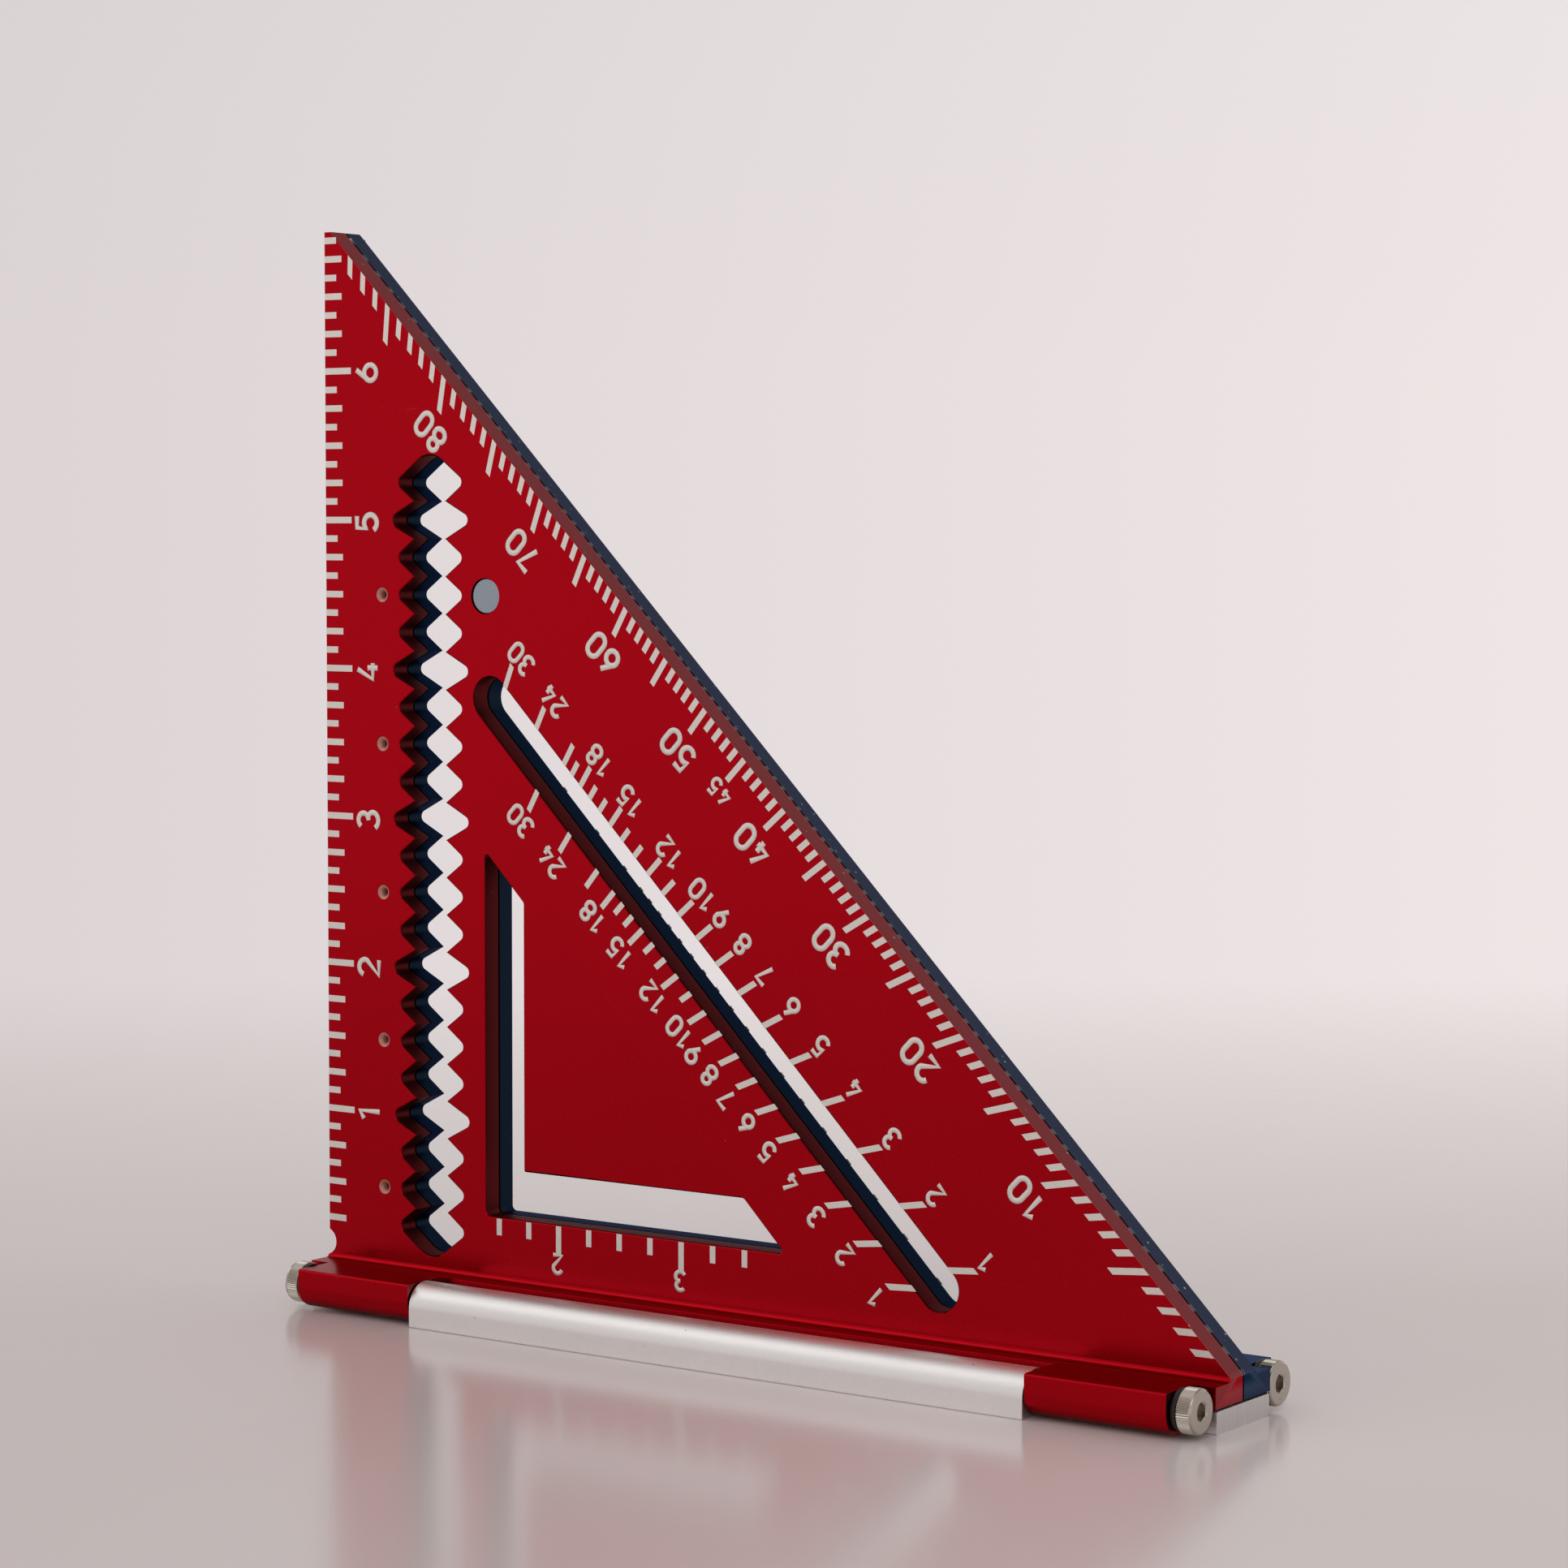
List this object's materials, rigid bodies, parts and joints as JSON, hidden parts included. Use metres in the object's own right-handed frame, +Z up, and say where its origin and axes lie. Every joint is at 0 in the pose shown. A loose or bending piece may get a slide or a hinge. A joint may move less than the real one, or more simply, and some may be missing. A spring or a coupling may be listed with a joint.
{
  "type": "folding_speed_square",
  "caption": "Folding rafter square: two anodised triangular leaves, marked in inches and degrees, that hinge down to either side of a silver fence bar",
  "frame": {"origin": "Middle of the hinge bar's flat underside, at the foot of the closed tool's bounding box", "axes": "+X along the fence away from the pivot corner, +Y from the front leaf to the rear leaf, +Z up to the triangle's tip"},
  "size_m": [0.1778, 0.0324, 0.184],
  "materials": {
    "red_anodised": "satin",
    "blue_anodised": "satin",
    "satin_aluminium": "satin",
    "nickel_screw": "satin",
    "black_nylon": "matte",
    "magnet_plate": "satin"
  },
  "bodies": {
    "fence_bar": {"hinge_bar": "satin_aluminium", "front_left_screw": "nickel_screw", "front_right_screw": "nickel_screw", "rear_left_screw": "nickel_screw", "rear_right_screw": "nickel_screw", "front_left_washer": "black_nylon", "front_right_washer": "black_nylon", "rear_left_washer": "black_nylon", "rear_right_washer": "black_nylon"},
    "front_blade": {"front_leaf": "red_anodised", "front_magnet": "magnet_plate"},
    "rear_blade": {"rear_leaf": "blue_anodised", "rear_magnet": "magnet_plate"}
  },
  "joints": [
    {"name": "front_hinge", "type": "hinge", "parent": "fence_bar", "child": "front_blade", "pos_m": [0, -0.0121, 0.0042], "axis": [1, 0, 0], "range_deg": [0, 90]},
    {"name": "rear_hinge", "type": "hinge", "parent": "fence_bar", "child": "rear_blade", "pos_m": [0, 0.0121, 0.0042], "axis": [-1, 0, 0], "range_deg": [0, 90]}
  ]
}
